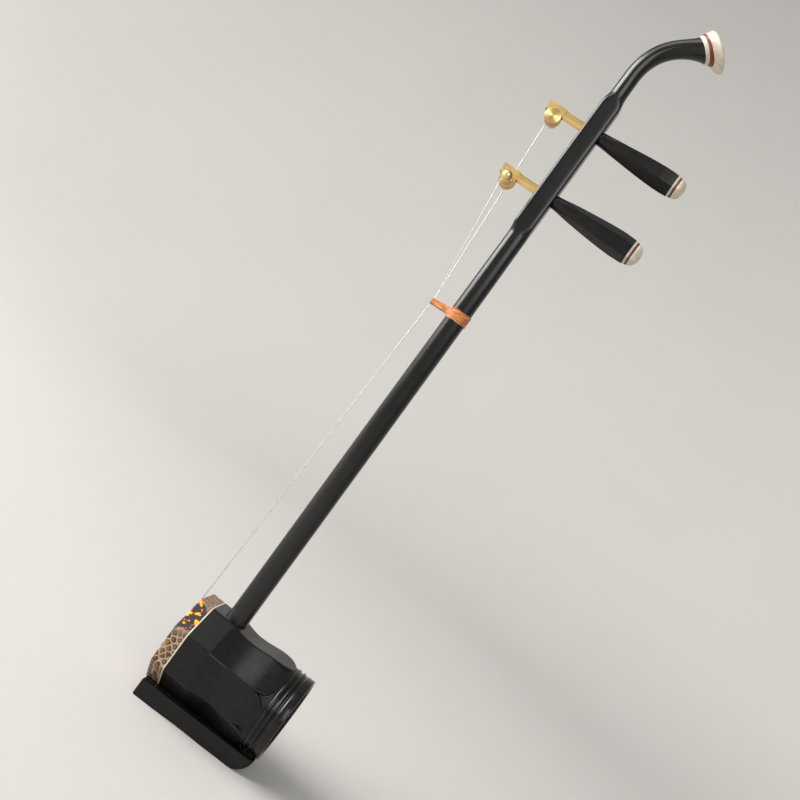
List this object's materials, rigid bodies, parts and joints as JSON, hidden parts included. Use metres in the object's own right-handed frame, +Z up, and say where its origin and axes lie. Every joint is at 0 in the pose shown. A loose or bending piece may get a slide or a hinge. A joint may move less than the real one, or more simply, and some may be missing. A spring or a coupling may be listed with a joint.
{
  "type": "erhu",
  "caption": "Upright bowed fiddle with an octagonal sound box, python skin face, slim round neck, curled head, geared tuning pegs and a pair of strings.",
  "frame": {"origin": "on the surface that the base stands on, at the middle of the whole object's box", "axes": "+Z up along the neck, -Y towards the python skin and strings, +Y towards the peg handles, X across the sound box with the outer string's spool at +X"},
  "size_m": [0.0896, 0.1562, 0.812],
  "materials": {
    "black_wood": "oiled and polished ebony, satin gloss",
    "bone": "polished bone, slightly waxy",
    "red_ring": "polished dark red inlay",
    "python": "dry scaled python skin with dark blotches",
    "brass": "turned and polished",
    "steel": "bright drawn wire and turned shafts",
    "thread": "wound orange-brown thread",
    "maple": "plain carved maple",
    "felt": "dark felt"
  },
  "bodies": {
    "frame": {"base_block": "black_wood", "base_screw_front": "brass", "base_screw_rear": "brass", "bridge": "maple", "damper_pad": "felt", "head_cap": "bone", "head_ring_bone": "bone", "head_ring_red": "red_ring", "inner_string": "steel", "outer_string": "steel", "neck": "black_wood", "python_skin_face": "python", "python_skin_margin": "python", "qianjin_loop": "thread", "qianjin_wrap": "thread", "rear_grille": "black_wood", "rear_rim": "black_wood", "skin_binding": "bone", "string_anchor_pin": "brass", "upper_gear_housing": "brass", "upper_cover_disc": "brass", "lower_gear_housing": "brass", "lower_cover_disc": "brass", "stave_top": "black_wood", "stave_upper_right": "black_wood", "stave_right": "black_wood", "stave_lower_right": "black_wood", "stave_bottom": "black_wood", "stave_lower_left": "black_wood", "stave_left": "black_wood", "stave_upper_left": "black_wood"},
    "upper_peg": {"upper_handle": "black_wood", "upper_ring_bone": "bone", "upper_ring_red": "red_ring", "upper_dome": "bone", "upper_worm_shaft": "steel"},
    "upper_spool": {"upper_spool": "brass", "upper_string_winding": "steel", "upper_worm_wheel": "brass"},
    "lower_peg": {"lower_handle": "black_wood", "lower_ring_bone": "bone", "lower_ring_red": "red_ring", "lower_dome": "bone", "lower_worm_shaft": "steel"},
    "lower_spool": {"lower_spool": "brass", "lower_string_winding": "steel", "lower_worm_wheel": "brass"}
  },
  "joints": [
    {"name": "upper_peg_turn", "type": "hinge", "parent": "frame", "child": "upper_peg", "pos_m": [0, -0.02759, 0.6724], "axis": [0, 1, 0], "continuous": true},
    {"name": "upper_spool_turn", "type": "hinge", "parent": "frame", "child": "upper_spool", "pos_m": [0, -0.06739, 0.6648], "axis": [1, 0, 0], "continuous": true},
    {"name": "lower_peg_turn", "type": "hinge", "parent": "frame", "child": "lower_peg", "pos_m": [0, -0.02759, 0.599], "axis": [0, 1, 0], "continuous": true},
    {"name": "lower_spool_turn", "type": "hinge", "parent": "frame", "child": "lower_spool", "pos_m": [0, -0.06739, 0.5914], "axis": [1, 0, 0], "continuous": true}
  ],
  "couplings": [
    {"joint": "upper_spool_turn", "follows": "upper_peg_turn", "ratio": 0.083333},
    {"joint": "lower_spool_turn", "follows": "lower_peg_turn", "ratio": 0.083333}
  ]
}
